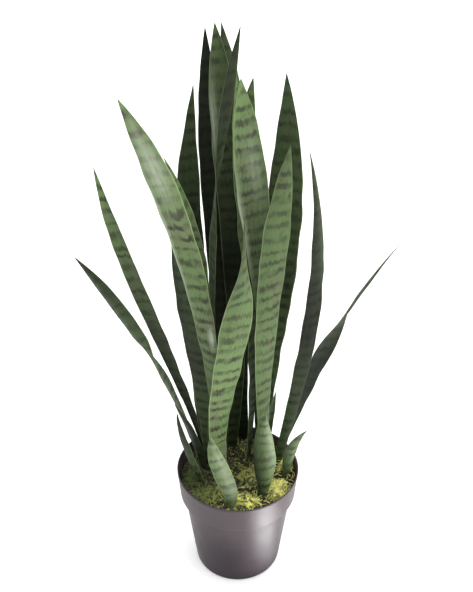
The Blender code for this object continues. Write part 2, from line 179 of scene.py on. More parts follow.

# Each leaf: root (x, y) in the soil, tip (x, y, height above the soil), the sideways bow (x, y)
# at mid height, an S-shaped sway, the blade's width, where it is widest and how blunt its point
# is, the way it faces at its foot and tip (degrees from -Y towards +X), the stretch where it
# turns, and its gutter, which is positive where the ridge faces forward. Then its tone with
# painted shade, from 0 for sage to 1 for near black: left and right at the foot, halfway up, and
# at the tip. Besides the leaf's own paler or deeper green, this value paints the shade on leaves
# at the back and on the side of a leaf that is turned from the light.
LEAVES = {
    "leaf_arching_left": dict(root=(-62, 46), tip=(-237, 85, 348), bow=(27, -6), sway=0,
                              width=37, belly=0.75, point=2.3, face=(90, 147), turn=(0.47, 0.67),
                              gutter=-0.2, tone_and_shade=(0, 0.35, 0.55, 0.55, 0.95, 0.9)),
    "leaf_leaning_left": dict(root=(-46, 46), tip=(-186, 35, 506), bow=(-2, 6), sway=5,
                              width=28, belly=0.6, point=2.5, face=(-30, -20), turn=(0, 1),
                              gutter=-0.15, tone_and_shade=(0.9, 0.95, 0.95, 0.85, 0, 0.35)),
    "leaf_broad_left": dict(root=(-29, 8), tip=(-138, -30, 613), bow=(37, -8), sway=-5,
                            width=43, belly=0.75, point=2.9, face=(-48, -20), turn=(0, 1),
                            gutter=0.12, tone_and_shade=(0.85, 1, 0.35, 0.25, 0.05, 0)),
    "leaf_second_left": dict(root=(-36, 34), tip=(-94, 20, 525), bow=(10, 0), sway=-13,
                             width=34, belly=0.6, point=2.0, face=(0, -7), turn=(0, 1),
                             gutter=0.12, tone_and_shade=(0.6, 0.6, 0.6, 0.65, 0.1, 0.1)),
    "leaf_third_left": dict(root=(-36, 60), tip=(-57, 85, 599), bow=(-21, -3), sway=2,
                            width=47, belly=0.6, point=1.8, face=(15, 25), turn=(0, 1),
                            gutter=-0.15, tone_and_shade=(0.8, 0.85, 0.75, 1, 0.85, 0.7)),
    "leaf_tall_left": dict(root=(-26, 73), tip=(-42, 115, 663), bow=(8, 0), sway=4,
                           width=40, belly=0.63, point=2.7, face=(15, 10), turn=(0, 1),
                           gutter=-0.15, tone_and_shade=(0.85, 0.9, 0.97, 0.95, 1, 1)),
    "leaf_tall_centre": dict(root=(-12, 64), tip=(-29, 85, 674), bow=(18, 0), sway=1,
                             width=44, belly=0.75, point=2.7, face=(15, -15), turn=(0, 1),
                             gutter=-0.12, tone_and_shade=(0.6, 0.7, 0.97, 0.95, 0.5, 0.75)),
    "leaf_tall_back": dict(root=(13, 81), tip=(-22, 135, 665), bow=(6, 1), sway=-6,
                           width=46, belly=0.63, point=2.6, face=(12, 5), turn=(0, 1),
                           gutter=-0.15, tone_and_shade=(0.98, 0.98, 0.9, 0.8, 0.9, 0.6)),
    "leaf_tall_twisted": dict(root=(-15, 47), tip=(3, 32, 681), bow=(-32, 0), sway=1,
                              width=37, belly=0.65, point=2.7, face=(108, 38), turn=(0.55, 1),
                              gutter=-0.1, tone_and_shade=(0.5, 0.5, 0.75, 0.35, 1, 0.95)),
    "leaf_inner": dict(root=(14, 34), tip=(-1, 66, 618), bow=(11, 0), sway=3,
                       width=33, belly=0.75, point=2.2, face=(55, 24), turn=(0.42, 0.89),
                       gutter=-0.12, tone_and_shade=(0.45, 0.5, 0.4, 0.8, 0.1, 0.75)),
    "leaf_centre": dict(root=(33, 40), tip=(3, 20, 623), bow=(20, -5), sway=4,
                        width=46, belly=0.8, point=2.2, face=(65, 22), turn=(0.32, 0.8),
                        gutter=0.1, tone_and_shade=(0.9, 0.95, 0.6, 0.95, 0, 0.3)),
    "leaf_behind_centre": dict(root=(30, 70), tip=(20, 100, 603), bow=(-3, 3), sway=11,
                               width=40, belly=0.7, point=2.8, face=(10, -5), turn=(0, 1),
                               gutter=-0.15, tone_and_shade=(0.9, 0.9, 0.9, 0.8, 0.7, 0.05)),
    "leaf_second_right": dict(root=(46, 60), tip=(61, 80, 614), bow=(0, -3), sway=-8,
                              width=58, belly=0.6, point=2.3, face=(-10, -20), turn=(0, 1),
                              gutter=-0.12, tone_and_shade=(0.6, 0.1, 0.85, 0.7, 0.75, 0.65)),
    "leaf_broad_right": dict(root=(48, 4), tip=(62, -25, 556), bow=(-15, -2), sway=-1,
                             width=45, belly=0.7, point=2.3, face=(49, 25), turn=(0, 1),
                             gutter=0.12, tone_and_shade=(0.4, 0.35, 0.36, 0.36, 0.62, 0.5)),
    "leaf_leaning_right": dict(root=(58, 22), tip=(87, 0, 540), bow=(30, 4), sway=-5,
                               width=33, belly=0.62, point=2.1, face=(3, 60), turn=(0, 1),
                               gutter=0.12, tone_and_shade=(0.5, 0.75, 1, 1, 0.95, 0.65)),
    "leaf_arching_right": dict(root=(55, 40), tip=(227, 60, 382), bow=(-24, -4), sway=4,
                               width=40, belly=0.64, point=1.6, face=(29, 76), turn=(0.57, 0.8),
                               gutter=-0.12, tone_and_shade=(0.9, 0.9, 1, 1, 0.5, 0.85)),
    "leaf_front": dict(root=(-13, -12), tip=(7, -45, 465), bow=(-13, -12), sway=-11,
                       width=50, belly=0.67, point=2.0, face=(28, 77), turn=(0.69, 0.92),
                       gutter=0.12, tone_and_shade=(0, 0.2, 0, 0.15, 0.9, 0.3)),
    "leaf_back_left": dict(root=(-46, 22), tip=(-88, 8, 415), bow=(11, 0), sway=0,
                           width=41, belly=0.6, point=2.5, face=(-25, -20), turn=(0, 1),
                           gutter=0.12, tone_and_shade=(0.2, 0.5, 0.95, 0.8, 0.95, 0.6)),
    "leaf_short_front_left": dict(root=(-17, -66), tip=(-37, -85, 156), bow=(9, -5), sway=6,
                                  width=28, belly=0.55, point=2.5, face=(17, -5), turn=(0, 1),
                                  gutter=0.2, tone_and_shade=(0, 0, 0.3, 0, 0, 0)),
    "leaf_short_front_right": dict(root=(33, -48), tip=(39, -65, 182), bow=(4, 4), sway=4,
                                   width=35, belly=0.5, point=1.9, face=(26, -13), turn=(0, 1),
                                   gutter=0.3, tone_and_shade=(1, 0, 1, 0, 0.5, 0)),
    "leaf_short_right": dict(root=(69, 2), tip=(104, -15, 107), bow=(-6, -4), sway=4,
                             width=27, belly=0.6, point=2.3, face=(44, 28), turn=(0, 1),
                             gutter=0.3, tone_and_shade=(0.6, 0, 0.8, 0.05, 0.75, 0)),
    "leaf_short_back_left": dict(root=(-56, 14), tip=(-95, 10, 137), bow=(8, 4), sway=2,
                                 width=25, belly=0.6, point=2.3, face=(-31, -50), turn=(0, 1),
                                 gutter=0.2, tone_and_shade=(0.8, 0.6, 1, 0.9, 1, 0.95)),
    "leaf_short_inner": dict(root=(43, 26), tip=(58, 26, 149), bow=(-5, 0), sway=0,
                             width=18, belly=0.6, point=2.2, face=(20, 37), turn=(0, 1),
                             gutter=-0.2, tone_and_shade=(0.9, 0.8, 0.8, 0.9, 0.5, 0.8)),
    "leaf_short_left": dict(root=(-51, -12), tip=(-88, -30, 153), bow=(-6, -4), sway=2,
                            width=26, belly=0.6, point=2.5, face=(-37, -59), turn=(0, 1),
                            gutter=0.3, tone_and_shade=(0.3, 0.2, 0.9, 0.75, 0.95, 1)),
}

PALE_LEAVES = ("leaf_broad_left", "leaf_second_left", "leaf_centre", "leaf_broad_right", "leaf_front",
               "leaf_short_front_left", "leaf_short_front_right", "leaf_short_right")

# Painted highlights, light patches where a blade catches the light: where across (-1 to 1) and
# along (0 to 1) the blade, how far each way, how strong.
PAINTED_HIGHLIGHTS = {
    "leaf_broad_left": [(0.0, 0.87, 0.8, 0.09, 0.5), (-0.95, 0.72, 0.18, 0.2, 0.9),
                        (0.55, 0.47, 0.3, 0.03, 0.8)],
    "leaf_centre": [(-0.95, 0.7, 0.16, 0.13, 1.0), (0.2, 0.82, 0.5, 0.08, 0.2)],
    "leaf_tall_centre": [(-0.8, 0.82, 0.35, 0.08, 0.5)],
    "leaf_short_front_left": [(0.4, 0.6, 0.8, 0.6, 0.25)],
    "leaf_short_front_right": [(0.7, 0.7, 0.4, 0.4, 0.3)],
}


class LeafSettings(bpy.types.PropertyGroup):
    thickness: FloatProperty(
        name="Thickness", description="Thickness of a leaf in the middle of its foot",
        default=0.0032, min=0.0005, unit="LENGTH")
    edge_share: FloatProperty(
        name="Edge Share", description="Thickness at the blade's edge, as a share of the middle",
        default=0.35, min=0.05, max=1.0, subtype="FACTOR")
    tip_share: FloatProperty(
        name="Tip Share", description="Thickness at the tip, as a share of the foot",
        default=0.3, min=0.05, max=1.0, subtype="FACTOR")
    foot_share: FloatProperty(
        name="Foot Share", description="Width at the foot, as a share of the widest place",
        default=0.42, min=0.1, max=1.0, subtype="FACTOR")
    ripple: FloatProperty(
        name="Ripple", description="How far the blade's edges wave in and out",
        default=0.0012, min=0.0, unit="LENGTH")
    band_spacing: FloatProperty(
        name="Band Spacing", description="Distance from one dark cross band to the next",
        default=0.018, min=0.002, unit="LENGTH")
    pale: FloatVectorProperty(
        name="Sage", description="Ground colour of the palest leaves",
        default=(0.186, 0.284, 0.112), min=0.0, max=1.0, subtype="COLOR")
    pale_band: FloatVectorProperty(
        name="Sage Band", description="Colour of the cross bands on the palest leaves",
        default=(0.050, 0.046, 0.035), min=0.0, max=1.0, subtype="COLOR")
    # The deep colours also paint shade: where a leaf's tone runs towards 1 they stand for its own dark
    # green and for shade.
    deep: FloatVectorProperty(
        name="Deep", description="Ground colour of the darkest leaves",
        default=(0.014, 0.018, 0.011), min=0.0, max=1.0, subtype="COLOR")
    deep_band: FloatVectorProperty(
        name="Deep Band", description="Colour of the cross bands on the darkest leaves",
        default=(0.004, 0.005, 0.004), min=0.0, max=1.0, subtype="COLOR")
    margin: FloatVectorProperty(
        name="Margin", description="Colour of the thin line along a leaf's edge",
        default=(0.40, 0.52, 0.25), min=0.0, max=1.0, subtype="COLOR")
    # The colour of the painted highlights, a light sheen painted where a blade catches the light.
    painted_highlight: FloatVectorProperty(
        name="Silver", description="Colour of the silvery patches",
        default=(0.66, 0.72, 0.58), min=0.0, max=1.0, subtype="COLOR")


class PotSettings(bpy.types.PropertyGroup):
    wall: FloatProperty(
        name="Wall", description="Thickness of the pot's wall",
        default=0.002, min=0.0005, unit="LENGTH")
    colour: FloatVectorProperty(
        name="Colour", description="Colour of the moulded plastic",
        default=(0.032, 0.024, 0.030), min=0.0, max=1.0, subtype="COLOR")
    roughness: FloatProperty(
        name="Roughness", description="Roughness of the moulded plastic",
        default=0.4, min=0.0, max=1.0, subtype="FACTOR")


class SoilSettings(bpy.types.PropertyGroup):
    crumbs: IntProperty(
        name="Crumbs", description="How many crumbs and bark chips lie on the soil",
        default=620, min=0)
    colour: FloatVectorProperty(
        name="Colour", description="Colour of the potting mix",
        default=(0.045, 0.032, 0.022), min=0.0, max=1.0, subtype="COLOR")


class MossSettings(bpy.types.PropertyGroup):
    strands: FloatProperty(
        name="Strands", description="Strands of moss for each square millimetre of a tuft",
        default=0.42, min=0.05, max=3.0)
    strand_length: FloatProperty(
        name="Strand Length", description="Length of a strand of moss",
        default=0.012, min=0.002, unit="LENGTH")
    strand_radius: FloatProperty(
        name="Strand Radius", description="Half the thickness of a strand of moss",
        default=0.0009, min=0.0001, unit="LENGTH")
    bright: FloatVectorProperty(
        name="Bright", description="Colour of the lit, yellow-green strands",
        default=(0.940, 0.930, 0.230), min=0.0, max=1.0, subtype="COLOR")
    # The dark colour also paints the moss's shade on the left and towards the middle and back.
    dark: FloatVectorProperty(
        name="Dark", description="Colour of the dark olive strands",
        default=(0.050, 0.085, 0.018), min=0.0, max=1.0, subtype="COLOR")


class StageSettings(bpy.types.PropertyGroup):
    camera_distance: FloatProperty(
        name="Camera Distance", description="How far in front of the pot the camera stands",
        default=0.886, unit="LENGTH")
    camera_height: FloatProperty(
        name="Camera Height", description="Height of the camera above the floor",
        default=1.028, unit="LENGTH")
    camera_tilt: FloatProperty(
        name="Camera Tilt", description="How far the camera looks down",
        default=math.radians(31.0), subtype="ANGLE")
    lens: FloatProperty(
        name="Lens", description="Focal length of the camera in millimetres",
        default=46.2, min=10.0)
    key_power: FloatProperty(
        name="Key Light", description="Power of the large soft light on the right, in watts",
        default=28.0, min=0.0)
    top_power: FloatProperty(
        name="Top Light", description="Power of the wide soft light overhead, in watts",
        default=520.0, min=0.0)
    glow: FloatProperty(
        name="Glow", description="Strength of the light card on the floor beside the pot",
        default=17.0, min=0.0)
    sky: FloatProperty(
        name="Sky", description="Strength of the even white surroundings",
        default=0.25, min=0.0)


def lerp(a, b, t):
    return a + (b - a) * t


def ease(t):
    t = min(max(t, 0.0), 1.0)
    return t * t * (3.0 - 2.0 * t)


def deselect():
    """Clears the selection, since an operator acts on all that is selected."""
    bpy.ops.object.select_all(action="DESELECT")


def pick(obj):
    deselect()
    obj.select_set(True)
    bpy.context.view_layer.objects.active = obj


def apply_modifiers(obj):
    pick(obj)
    for modifier in list(obj.modifiers):
        bpy.ops.object.modifier_apply(modifier=modifier.name)


def settle(obj):
    """Puts a finished piece's place into its mesh, so that its object sits at the origin."""
    pick(obj)
    bpy.ops.object.transform_apply(location=True, rotation=True, scale=True)


def hand_over(obj, material, slot, *nodes):
    """Gives a finished piece its material and its place in the frame."""
    obj.data.materials.clear()
    obj.data.materials.append(material)
    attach(obj, "root")
    if nodes:
        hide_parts(*nodes)


class Finish:
    """A material's node tree, with short ways to add nodes and join them."""

    def __init__(self, name):
        self.material = bpy.data.materials.new(name)
        self.material.use_nodes = True
        self.tree = self.material.node_tree
        self.shader = self.tree.nodes["Principled BSDF"]

    def feed(self, socket, value):
        """Joins a node's output to a socket, or sets the socket to a plain value."""
        if isinstance(value, bpy.types.NodeSocket):
            self.tree.links.new(value, socket)
        else:
            socket.default_value = value

    def add(self, kind, inputs=(), **settings):
        node = self.tree.nodes.new(kind)
        for key, value in settings.items():
            setattr(node, key, value)
        for key, value in dict(inputs).items():
            self.feed(node.inputs[key], value)
        return node

    def maths(self, operation, a, b=0.0, clamp=False):
        node = self.add("ShaderNodeMath", {0: a, 1: b}, operation=operation, use_clamp=clamp)
        return node.outputs[0]

    def spread(self, value, low, high, to_low=0.0, to_high=1.0):
        """Takes the range from low to high smoothly to another range, and holds it there."""
        node = self.add("ShaderNodeMapRange", {"Value": value, "From Min": low, "From Max": high,
                                               "To Min": to_low, "To Max": to_high},
                        interpolation_type="SMOOTHSTEP")
        return node.outputs["Result"]

    def stretched(self, vector, scale):
        node = self.add("ShaderNodeMapping", {"Vector": vector, "Scale": scale})
        return node.outputs["Vector"]

    def grain(self, vector, scale=1.0, detail=2.0, roughness=0.5):
        node = self.add("ShaderNodeTexNoise", {"Vector": vector, "Scale": scale, "Detail": detail,
                                               "Roughness": roughness})
        return node.outputs["Fac"]

    def flecks(self, vector, across, along, detail=2.0):
        """Noise with so many cells to a metre across a blade and along it."""
        return self.grain(self.stretched(vector, (across, along, 1)), detail=detail)

    def mix(self, factor, a, b, blend="MIX"):
        node = self.add("ShaderNodeMix", data_type="RGBA", blend_type=blend)
        self.feed(node.inputs[0], factor)
        self.feed(node.inputs[6], a)
        self.feed(node.inputs[7], b)
        return node.outputs[2]

    def shift(self, value, amount):
        """Turns a value about one half into a displacement about zero."""
        return self.maths("MULTIPLY", self.maths("SUBTRACT", value, 0.5), amount)

    def bump(self, height, strength, distance):
        node = self.add("ShaderNodeBump", {"Height": height, "Strength": strength,
                                           "Distance": distance})
        self.feed(self.shader.inputs["Normal"], node.outputs["Normal"])

    def place(self):
        return self.add("ShaderNodeTexCoord").outputs["Object"]

    def axis(self, vector, name):
        return self.add("ShaderNodeSeparateXYZ", {0: vector}).outputs[name]

    def glow(self, low, high, near, far):
        """Lights the finish by its distance from the piece's middle."""
        away = self.add("ShaderNodeVectorMath", {0: self.place()}, operation="LENGTH")
        self.shader.inputs["Emission Color"].default_value = WHITE
        self.feed(self.shader.inputs["Emission Strength"],
                  self.spread(away.outputs["Value"], low, high, near, far))

    def wear(self, colour, roughness):
        self.feed(self.shader.inputs["Base Color"], colour)
        self.feed(self.shader.inputs["Roughness"], roughness)


def rgba(colour):
    return (*colour, 1.0)


def blade_rise(leaf):
    """How far a leaf's tip is above its foot, in millimetres."""
    return SOIL_LEVEL + leaf["tip"][2] - LEAF_FOOT_Z


def spine(leaf, t):
    """The point of a leaf's centre line at a share t of its length, in millimetres."""
    root_x, root_y = leaf["root"]
    tip_x, tip_y, tip_rise = leaf["tip"]
    bow_x, bow_y = leaf["bow"]
    arc = 4 * t * (1 - t)
    sway = SWAY_PEAK * t * (1 - t) * (1 - 2 * t)
    return Vector((
        lerp(root_x, tip_x, t) + bow_x * arc + leaf["sway"] * sway,
        lerp(root_y, tip_y, t) + bow_y * arc,
        lerp(LEAF_FOOT_Z, SOIL_LEVEL + tip_rise, t),
    ))


def half_width(leaf, t, foot_share):
    widest = leaf["width"] / 2
    if t < leaf["belly"]:
        return widest * lerp(foot_share, 1.0, ease(t / leaf["belly"]))
    past = (t - leaf["belly"]) / (1 - leaf["belly"])
    return widest * (1 - past ** leaf["point"])


def blade_point(leaf, s, t, foot_share, ripple):
    """A point of the blade: s runs from -1 to 1 across it, and t from 0 to 1 along it."""
    ahead = spine(leaf, min(t + SPINE_STEP, 1.0))
    along = (ahead - spine(leaf, max(t - SPINE_STEP, 0.0))).normalized()
    front = Vector((0.0, -1.0, 0.0))
    front = (front - along * front.dot(along)).normalized()
    right = along.cross(front)
    start, end = leaf["turn"]
    at_foot, at_tip = leaf["face"]
    angle = math.radians(lerp(at_foot, at_tip, ease((t - start) / (end - start))))
    side = right * math.cos(angle) - front * math.sin(angle)
    normal = front * math.cos(angle) + right * math.sin(angle)
    reach = half_width(leaf, t, foot_share)
    height = t * blade_rise(leaf)
    edge = Vector((height / RIPPLE_LENGTH, 2.0 * s, leaf["tip"][0]))
    wave = ripple * s * s * math.sin(math.pi * t) * RIPPLE_GAIN * noise.noise(edge)
    pinch = 1.0 - EDGE_PINCH * s * s * (0.5 + noise.noise(edge * PINCH_FREQUENCY))
    lift = wave - leaf["gutter"] * reach * abs(s) ** GUTTER_CURVE
    return spine(leaf, t) + side * (reach * s * pinch) + normal * lift


def tone_and_shade_at(tones_and_shades, s, t):
    """A leaf's tone with its painted shade at a place, from its six values at the foot, halfway and at
    the tip.
    """
    foot, middle, top = (lerp(tones_and_shades[row], tones_and_shades[row + 1], (s + 1) / 2) for row in (0, 2, 4))
    return lerp(foot, middle, 2 * t) if t < 0.5 else lerp(middle, top, 2 * t - 1)


def painted_highlight_at(name, s, t):
    """How strong the painted highlight is at a place on a blade."""
    strongest = 0.0
    for at_s, at_t, wide, long, strength in PAINTED_HIGHLIGHTS.get(name, ()):
        off = ((s - at_s) / wide) ** 2 + ((t - at_t) / long) ** 2
        strongest = max(strongest, strength * math.exp(-GLINT_FALLOFF * off))
    return strongest


def build_blade(name, leaf, index):
    """One leaf: a grid shaped to the blade, given a wall that thins to the edges and smoothed."""
    settings = bpy.context.scene.snake_plant_leaves
    length = blade_rise(leaf)
    deselect()
    rows = LONG_BLADE_ROWS if length > LONG_BLADE else SHORT_BLADE_ROWS
    bpy.ops.mesh.primitive_grid_add(x_subdivisions=BLADE_COLUMNS, y_subdivisions=rows, size=2)
    blade = bpy.context.object
    blade.name = name.replace("leaf", "blade")
    blade.vertex_groups.new(name="thickness")
    bpy.ops.object.mode_set(mode="EDIT")
    shape = bmesh.from_edit_mesh(blade.data)
    weights = shape.verts.layers.deform.verify()
    tone_and_shade = shape.verts.layers.float.new("tone_and_shade")
    painted_highlight = shape.verts.layers.float.new("painted_highlight")
    share_map = shape.loops.layers.uv.new("Share")
    length_map = shape.loops.layers.uv.new("Length")
    for vertex in shape.verts:
        s = vertex.co.x
        u = (vertex.co.y + 1) / 2
        t = 1 - (1 - u) ** ROW_CROWDING
        for loop in vertex.link_loops:
            loop[share_map].uv = (s, t)
            loop[length_map].uv = (s * half_width(leaf, t, settings.foot_share) * MM,
                                   t * length * MM + BAND_OFFSET * index)
        # The tone carries painted shade as well as the leaf's own green.
        vertex[tone_and_shade] = tone_and_shade_at(leaf["tone_and_shade"], s, t)
        # The strength of the painted highlight at this place.
        vertex[painted_highlight] = painted_highlight_at(name, s, t)
        across = lerp(1.0, settings.edge_share, s * s)
        vertex[weights][0] = across * lerp(1.0, settings.tip_share, t)
        vertex.co = blade_point(leaf, s, t, settings.foot_share, settings.ripple / MM) * MM
    bmesh.update_edit_mesh(blade.data)
    bpy.ops.mesh.select_all(action="SELECT")
    bpy.ops.mesh.remove_doubles(threshold=BLADE_WELD * MM)
    bpy.ops.object.mode_set(mode="OBJECT")
    wall = blade.modifiers.new("wall", "SOLIDIFY")
    wall.thickness = settings.thickness
    wall.offset = 0.0
    wall.vertex_group = "thickness"
    smooth = blade.modifiers.new("smooth", "SUBSURF")
    smooth.levels = 1
    smooth.render_levels = 1
    apply_modifiers(blade)
    bpy.ops.object.shade_smooth()
    settle(blade)
    return blade


def leaf_skin():
    """The waxy banded skin. It reads each blade's Share and Length maps, its tone with painted shade,
    and its painted highlights.
    """
    settings = bpy.context.scene.snake_plant_leaves
    skin = Finish("banded_leaf_skin")
    tone_and_shade = skin.add("ShaderNodeAttribute", attribute_name="tone_and_shade").outputs["Fac"]
    painted_highlight = skin.add("ShaderNodeAttribute", attribute_name="painted_highlight").outputs["Fac"]
    flat = skin.add("ShaderNodeUVMap", uv_map="Length").outputs["UV"]
    share = skin.add("ShaderNodeUVMap", uv_map="Share").outputs["UV"]
    along = skin.axis(flat, "Y")
    off_middle = skin.maths("ABSOLUTE", skin.axis(share, "X"))

    # Bands: a wave along the blade, unevenly spaced, bent, made ragged by streaks, and broken
    uneven = skin.shift(skin.flecks(flat, 5, 26, 1), 0.022)
    bend = skin.shift(skin.flecks(flat, 42, 20), 0.012)
    ragged = skin.shift(skin.flecks(flat, 330, 16, 3), 0.012)
    moved = skin.maths("ADD", skin.maths("ADD", along, uneven), skin.maths("ADD", bend, ragged))
    wave = skin.maths("SINE", skin.maths("MULTIPLY", moved, math.tau / settings.band_spacing))
    start = skin.spread(skin.flecks(flat, 16, 20), 0.3, 0.7, 0.4, -0.4)
    band = skin.spread(skin.maths("SUBTRACT", wave, start), -0.35, 0.9)
    broken = skin.spread(skin.flecks(flat, 75, 55, 3), 0.32, 0.58, 0.25, 1.0)
    strong = skin.spread(skin.flecks(flat, 18, 9, 1), 0.3, 0.62, 0.55, 1.0)
    band = skin.maths("MULTIPLY", skin.maths("MULTIPLY", band, broken), strong)
    band = skin.maths("MULTIPLY", band, skin.spread(off_middle, 0.65, 0.95, 1.0, 0.45))
    blotch = skin.spread(skin.flecks(flat, 130, 95, 3), 0.52, 0.72)

    # Ground: sage to near black by tone, which also holds the painted shade, clouded and finely
    # streaked along the blade
    cloud = skin.flecks(flat, 45, 13, 3)
    streak = skin.flecks(flat, 380, 16, 3)
    ground = skin.mix(tone_and_shade, rgba(settings.pale), rgba(settings.deep))
    warm = skin.mix(tone_and_shade, WARM_SAGE, WARM_DEEP)
    ground = skin.mix(skin.spread(cloud, 0.45, 0.75, 0.0, 0.5), ground, warm)
    bands = skin.mix(tone_and_shade, rgba(settings.pale_band), rgba(settings.deep_band))
    depth = skin.maths("MULTIPLY", band, skin.spread(tone_and_shade, 0.0, 1.0, 0.95, 0.6))
    colour = skin.mix(depth, ground, bands)
    colour = skin.mix(skin.maths("MULTIPLY", blotch, 0.32), colour, bands)
    # Painted highlights: a light sheen colour laid over the blade where it catches the light, broken
    # by fine streaks.
    colour = skin.mix(skin.maths("MULTIPLY", painted_highlight, skin.spread(streak, 0.2, 0.7, 0.75, 1.0)),
                      colour, rgba(settings.painted_highlight))
    light = skin.spread(streak, 0.25, 0.75, 0.92, 1.08)
    grey = skin.add("ShaderNodeCombineColor", {0: light, 1: light, 2: light}).outputs[0]
    colour = skin.mix(1.0, colour, grey, blend="MULTIPLY")
    edge = skin.maths("MULTIPLY", skin.spread(off_middle, 0.91, 0.98),
                      skin.spread(cloud, 0.3, 0.6, 0.45, 0.95))
    edge_line = skin.mix(tone_and_shade, rgba(settings.margin), DEEP_MARGIN)
    colour = skin.mix(edge, colour, edge_line)

    rough = skin.spread(cloud, 0.3, 0.7, 0.46, 0.62)
    skin.wear(colour, rough)
    skin.shader.inputs["Specular IOR Level"].default_value = 0.08
    height = skin.maths("ADD", skin.maths("MULTIPLY", streak, 0.6), skin.maths("MULTIPLY", band, -0.4))
    skin.bump(height, 0.2, 0.0005)
    return skin.material


def moulded_plastic():
    """Satin pot plastic: a fine moulded grain, patchy dust, painted top light that lightens the
    colour upwards, and the odd scuff.
    """
    settings = bpy.context.scene.snake_plant_pot
    plastic = Finish("moulded_pot_plastic")
    place = plastic.place()
    grain = plastic.grain(place, 1400, 2)
    dust = plastic.grain(place, 16, 5, 0.65)
    rings = plastic.grain(plastic.stretched(place, (6, 6, 420)), 1.0, 3)
    scratches = plastic.grain(plastic.stretched(place, (60, 60, 500)), 1.0, 4, 0.7)
    scuff = plastic.spread(scratches, 0.66, 0.8)
    # Patchy dust, and the colour lightened from the body up to the collar as painted top light.
    dust_and_top_light = plastic.maths("ADD", plastic.spread(dust, 0.35, 0.75, -0.15, 0.15),
                          plastic.spread(plastic.axis(place, "Z"), 0.04, 0.16, 0.1, 0.8), clamp=True)
    colour = plastic.mix(dust_and_top_light, rgba(settings.colour), POT_DUST_AND_TOP_LIGHT)
    colour = plastic.mix(plastic.maths("MULTIPLY", scuff, 0.25), colour, POT_SCUFF)
    rough = plastic.spread(dust, 0.3, 0.7, settings.roughness - 0.05, settings.roughness + 0.08)
    plastic.wear(colour, rough)
    plastic.shader.inputs["Specular IOR Level"].default_value = 0.12
    plastic.bump(plastic.maths("ADD", grain, plastic.maths("MULTIPLY", rings, 0.8)), 0.12, 0.0004)
    return plastic.material


def potting_mix():
    """Dark crumbly soil with browner and blacker grains."""
    settings = bpy.context.scene.snake_plant_soil
    mix = Finish("crumbly_potting_mix")
    place = mix.place()
    grains = mix.grain(place, 420, 4, 0.7)
    patches = mix.grain(place, 60, 3)
    colour = mix.mix(mix.spread(grains, 0.35, 0.7), rgba(settings.colour), SOIL_BLACK)
    colour = mix.mix(mix.spread(patches, 0.5, 0.75, 0.0, 0.5), colour, SOIL_BROWN)
    mix.wear(colour, mix.spread(grains, 0.3, 0.7, 0.8, 1.0))
    mix.bump(grains, 0.8, 0.002)
    return mix.material


def moss_fibre():
    """Yellow-green strands with dark and straw-coloured ones; painted shade darkens the left and the
    middle and back, and painted light brightens the right.
    """
    settings = bpy.context.scene.snake_plant_moss
    fibre = Finish("moss_fibre")
    place = fibre.place()
    strand = fibre.grain(place, 150, 1)
    patch = fibre.grain(place, 48, 2)
    straw = fibre.grain(place, 240, 1)
    colour = fibre.mix(fibre.spread(strand, 0.44, 0.54), rgba(settings.dark), rgba(settings.bright))
    colour = fibre.mix(fibre.spread(straw, 0.56, 0.66, 0.0, 0.85), colour, MOSS_STRAW)
    colour = fibre.mix(fibre.spread(patch, 0.5, 0.68, 0.0, 0.4), colour, MOSS_OLIVE)
    across = fibre.axis(place, "X")
    # Painted shade: darker towards the middle and back, fading out on the right.
    painted_inner_shade = fibre.maths("MULTIPLY", fibre.spread(fibre.axis(place, "Y"), -0.055, -0.015, 0.0, 0.6),
                         fibre.spread(across, 0.03, 0.05, 1.0, 0.1))
    # Painted shade on the left and painted light on the right.
    colour = fibre.mix(fibre.spread(across, -0.06, 0.02, 0.85, 0.0), colour, rgba(settings.dark))
    colour = fibre.mix(fibre.spread(across, 0.0, 0.06, 0.0, 0.35), colour, MOSS_LIT)
    colour = fibre.mix(painted_inner_shade, colour, rgba(settings.dark))
    fibre.wear(colour, fibre.spread(strand, 0.3, 0.7, 0.55, 0.85))
    fibre.bump(strand, 0.4, 0.0006)
    return fibre.material


def ring_to(radius, height, last):
    """Extrudes the selected ring to a new radius and height, and gives them back."""
    last_radius, last_height = last
    bpy.ops.mesh.extrude_region_move(
        TRANSFORM_OT_translate={"value": (0.0, 0.0, height - last_height)})
    share = radius / last_radius
    bpy.ops.transform.resize(value=(share, share, 1.0), center_override=(0.0, 0.0, height))
    return radius, height


def run_rings(points, start):
    """Extrudes the selected ring through (radius, height) points, and closes the last one."""
    last = start
    for radius, height in points:
        last = ring_to(radius, height, last)
    bpy.ops.mesh.edge_face_add()


